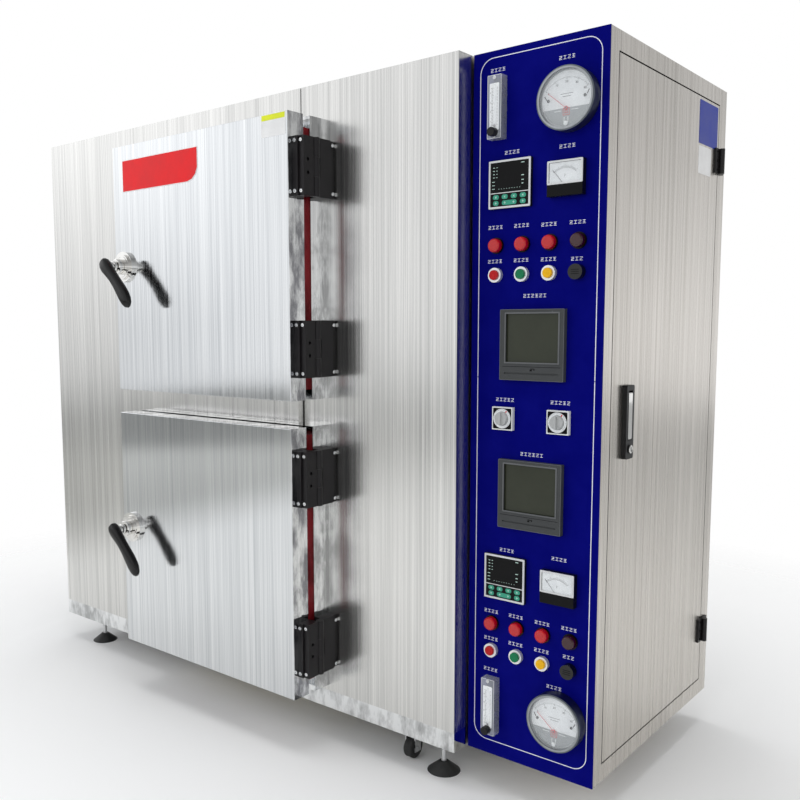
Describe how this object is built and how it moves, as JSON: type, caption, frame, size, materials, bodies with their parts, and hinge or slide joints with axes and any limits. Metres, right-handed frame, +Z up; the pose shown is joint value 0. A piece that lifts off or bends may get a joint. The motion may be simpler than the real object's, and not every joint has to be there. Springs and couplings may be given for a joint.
{
  "type": "stacked_chamber_oven",
  "caption": "Stacked chamber oven in stainless steel: two insulated chambers one above the other, each with a hinged door and lever handle, and a blue control panel at the right.",
  "frame": {"origin": "Middle of the overall box on the floor, under the feet.", "axes": "+X to the right along the front, +Y from the doors to the back, +Z up."},
  "size_m": [1.826, 0.897, 1.569],
  "materials": {
    "brushed_panel": "vertical brushed grain",
    "polished_steel": "mirror polished stainless steel",
    "chamber_steel": "satin stainless steel",
    "chrome_fittings": "bright chrome",
    "wool": "loose mineral wool",
    "red_silicone": "smooth moulded silicone",
    "hinge_black": "black coated block",
    "lever_black": "polished black moulding",
    "panel_blue": "fine textured deep blue paint",
    "instrument_black": "fine satin black",
    "setter_grey": "light grey moulding",
    "knob_black": "satin black",
    "clear_plastic": "clear acrylic block",
    "lamp_red": "ribbed dark red lens",
    "button_red": "smooth red cap",
    "button_green": "smooth green cap",
    "button_yellow": "smooth yellow cap",
    "fan_metal": "plain rolled sheet",
    "motor_grey": "grey enamel",
    "heater_sheath": "dull heater sheath",
    "foot_black": "black moulding on a steel stem",
    "fork_metal": "zinc plated pressing",
    "wheel_rubber": "black rubber",
    "cabinet_steel": "brushed stainless sheet",
    "switchgear_grey": "light grey switchgear"
  },
  "bodies": {
    "upper_door": {"upper_door": "brushed_panel", "upper_door_leaves": "hinge_black", "upper_handle_boss": "chrome_fittings"},
    "upper_handle": {"upper_handle": "lever_black"},
    "upper_shelf": {"upper_shelf": "chamber_steel"},
    "upper_fan": {"upper_fan": "fan_metal"},
    "upper_gauge_pointer": {"upper_gauge_pointer": "knob_black"},
    "upper_flow_knob": {"upper_flow_knob": "knob_black"},
    "upper_stop_button": {"upper_stop_button": "button_red"},
    "upper_start_button": {"upper_start_button": "button_green"},
    "upper_heat_button": {"upper_heat_button": "button_yellow"},
    "lower_door": {"lower_door": "brushed_panel", "lower_door_leaves": "hinge_black", "lower_handle_boss": "chrome_fittings"},
    "lower_handle": {"lower_handle": "lever_black"},
    "lower_shelf": {"lower_shelf": "chamber_steel"},
    "lower_fan": {"lower_fan": "fan_metal"},
    "lower_gauge_pointer": {"lower_gauge_pointer": "knob_black"},
    "lower_flow_knob": {"lower_flow_knob": "knob_black"},
    "lower_stop_button": {"lower_stop_button": "button_red"},
    "lower_start_button": {"lower_start_button": "button_green"},
    "lower_heat_button": {"lower_heat_button": "button_yellow"},
    "caster_wheel_1": {"caster_wheel_1": "wheel_rubber"},
    "caster_wheel_2": {"caster_wheel_2": "wheel_rubber"},
    "caster_wheel_3": {"caster_wheel_3": "wheel_rubber"},
    "caster_wheel_4": {"caster_wheel_4": "wheel_rubber"},
    "left_setter_knob": {"left_setter_knob": "knob_black"},
    "right_setter_knob": {"right_setter_knob": "knob_black"},
    "side_door": {"side_door": "cabinet_steel", "side_door_leaves": "hinge_black", "lock_plate": "instrument_black"},
    "swing_handle": {"swing_handle": "chrome_fittings"},
    "body": {"left_front_panel": "brushed_panel", "right_front_panel": "brushed_panel", "outer_panels": "brushed_panel", "mullion_plate": "brushed_panel", "door_frames": "polished_steel", "base_frame": "polished_steel", "upper_liner": "chamber_steel", "lower_liner": "chamber_steel", "button_rings": "chrome_fittings", "insulation": "wool", "door_gaskets": "red_silicone", "frame_hinges": "hinge_black", "side_frame_hinges": "hinge_black", "upper_panel": "panel_blue", "lower_panel": "panel_blue", "recorders": "instrument_black", "controllers": "instrument_black", "ammeters": "instrument_black", "gauges": "instrument_black", "setters": "setter_grey", "flow_meters": "clear_plastic", "lamps": "lamp_red", "fan_motors": "motor_grey", "heaters": "heater_sheath", "levelling_feet": "foot_black", "caster_forks": "fork_metal", "cabinet_shell": "cabinet_steel", "switchgear": "switchgear_grey"}
  },
  "joints": [
    {"name": "upper_door_hinge", "type": "hinge", "parent": "body", "child": "upper_door", "pos_m": [0.253, -0.312, 1.167], "axis": [0, 0, 1], "range_deg": [0, 110]},
    {"name": "upper_handle_pivot", "type": "hinge", "parent": "upper_door", "child": "upper_handle", "pos_m": [-0.379, -0.4, 1.174], "axis": [0, -1, 0], "range_deg": [0, 90]},
    {"name": "upper_shelf_slide", "type": "slide", "parent": "body", "child": "upper_shelf", "axis": [0, -1, 0], "range_m": [0, 0.045]},
    {"name": "upper_fan_shaft", "type": "hinge", "parent": "body", "child": "upper_fan", "pos_m": [-0.096, 0.2155, 1.167], "axis": [0, 1, 0], "continuous": true},
    {"name": "upper_gauge_movement", "type": "hinge", "parent": "body", "child": "upper_gauge_pointer", "pos_m": [0.82, -0.2265, 1.427], "axis": [0, 1, 0], "range_deg": [0, 100], "stiffness_Nm_per_rad": 0.01},
    {"name": "upper_flow_valve", "type": "hinge", "parent": "body", "child": "upper_flow_knob", "pos_m": [0.6635, -0.23, 1.403], "axis": [0, -1, 0], "range_deg": [0, 360]},
    {"name": "upper_stop_press", "type": "slide", "parent": "body", "child": "upper_stop_button", "axis": [0, 1, 0], "range_m": [0, 0.004], "stiffness_N_per_m": 400},
    {"name": "upper_start_press", "type": "slide", "parent": "body", "child": "upper_start_button", "axis": [0, 1, 0], "range_m": [0, 0.004], "stiffness_N_per_m": 400},
    {"name": "upper_heat_press", "type": "slide", "parent": "body", "child": "upper_heat_button", "axis": [0, 1, 0], "range_m": [0, 0.004], "stiffness_N_per_m": 400},
    {"name": "lower_door_hinge", "type": "hinge", "parent": "body", "child": "lower_door", "pos_m": [0.253, -0.312, 0.462], "axis": [0, 0, 1], "range_deg": [0, 110]},
    {"name": "lower_handle_pivot", "type": "hinge", "parent": "lower_door", "child": "lower_handle", "pos_m": [-0.379, -0.4, 0.469], "axis": [0, -1, 0], "range_deg": [0, 90]},
    {"name": "lower_shelf_slide", "type": "slide", "parent": "body", "child": "lower_shelf", "axis": [0, -1, 0], "range_m": [0, 0.045]},
    {"name": "lower_fan_shaft", "type": "hinge", "parent": "body", "child": "lower_fan", "pos_m": [-0.096, 0.2155, 0.462], "axis": [0, 1, 0], "continuous": true},
    {"name": "lower_gauge_movement", "type": "hinge", "parent": "body", "child": "lower_gauge_pointer", "pos_m": [0.82, -0.2265, 0.191], "axis": [0, 1, 0], "range_deg": [0, 100], "stiffness_Nm_per_rad": 0.01},
    {"name": "lower_flow_valve", "type": "hinge", "parent": "body", "child": "lower_flow_knob", "pos_m": [0.6635, -0.23, 0.149], "axis": [0, -1, 0], "range_deg": [0, 360]},
    {"name": "lower_stop_press", "type": "slide", "parent": "body", "child": "lower_stop_button", "axis": [0, 1, 0], "range_m": [0, 0.004], "stiffness_N_per_m": 400},
    {"name": "lower_start_press", "type": "slide", "parent": "body", "child": "lower_start_button", "axis": [0, 1, 0], "range_m": [0, 0.004], "stiffness_N_per_m": 400},
    {"name": "lower_heat_press", "type": "slide", "parent": "body", "child": "lower_heat_button", "axis": [0, 1, 0], "range_m": [0, 0.004], "stiffness_N_per_m": 400},
    {"name": "caster_axle_1", "type": "hinge", "parent": "body", "child": "caster_wheel_1", "pos_m": [0.442, -0.1965, 0.028], "axis": [1, 0, 0], "continuous": true},
    {"name": "caster_axle_2", "type": "hinge", "parent": "body", "child": "caster_wheel_2", "pos_m": [0.442, 0.3885, 0.028], "axis": [1, 0, 0], "continuous": true},
    {"name": "caster_axle_3", "type": "hinge", "parent": "body", "child": "caster_wheel_3", "pos_m": [-0.803, -0.1085, 0.028], "axis": [1, 0, 0], "continuous": true},
    {"name": "caster_axle_4", "type": "hinge", "parent": "body", "child": "caster_wheel_4", "pos_m": [-0.803, 0.3005, 0.028], "axis": [1, 0, 0], "continuous": true},
    {"name": "left_setter_shaft", "type": "hinge", "parent": "body", "child": "left_setter_knob", "pos_m": [0.683, -0.22, 0.824], "axis": [0, -1, 0], "range_deg": [0, 270]},
    {"name": "right_setter_shaft", "type": "hinge", "parent": "body", "child": "right_setter_knob", "pos_m": [0.809, -0.22, 0.824], "axis": [0, -1, 0], "range_deg": [0, 270]},
    {"name": "side_door_hinge", "type": "hinge", "parent": "body", "child": "side_door", "pos_m": [0.906, 0.401, 0.826], "axis": [0, 0, 1], "range_deg": [0, 110]},
    {"name": "swing_handle_pivot", "type": "hinge", "parent": "side_door", "child": "swing_handle", "pos_m": [0.9038, -0.0925, 0.878], "axis": [0, -1, 0], "range_deg": [0, 30]}
  ]
}
